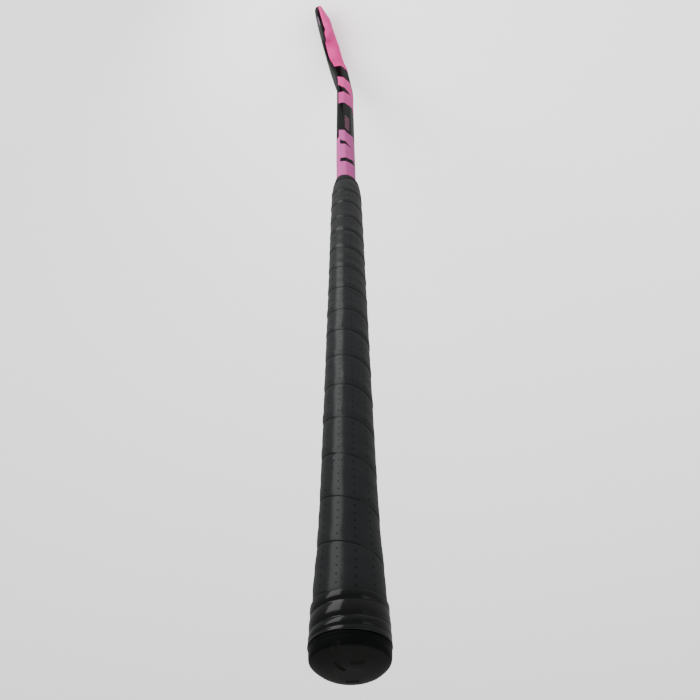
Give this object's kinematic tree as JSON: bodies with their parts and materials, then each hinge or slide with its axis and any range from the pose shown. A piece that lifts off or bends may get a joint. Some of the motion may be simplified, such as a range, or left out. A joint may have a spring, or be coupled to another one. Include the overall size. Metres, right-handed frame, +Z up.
{
  "type": "field hockey stick",
  "caption": "Composite field hockey stick with a flat-faced hooked head, slim bowed shaft, long cushioned perforated grip and rubber butt cap.",
  "frame": {"origin": "On the axis of the handle, 120 mm below the butt end, where the top hand grips.", "axes": "+Z up the handle to the butt, +X to the toe of the hook, +Y out of the flat playing face."},
  "size_m": [0.1185, 0.0475, 0.9267],
  "materials": {
    "lacquered_laminate": "clear-lacquered fibre laminate, painted black and pink",
    "core_foam": "rigid polyurethane foam",
    "plug_plastic": "moulded plastic",
    "cap_rubber": "matte moulded rubber",
    "cushion_foam": "soft closed-cell foam",
    "grip_tape": "perforated soft polyurethane tape",
    "gloss_tape": "glossy vinyl tape",
    "finishing_tape": "satin tape"
  },
  "bodies": {
    "root": {"laminate_shell": "lacquered_laminate", "shaft_foam_heel_side": "core_foam", "shaft_foam_toe_side": "core_foam", "head_foam": "core_foam", "butt_plug": "plug_plastic", "end_cap": "cap_rubber", "cushion_wrap": "cushion_foam", "grip_tape": "grip_tape", "butt_tape": "gloss_tape", "finishing_tape": "finishing_tape"}
  },
  "joints": []
}
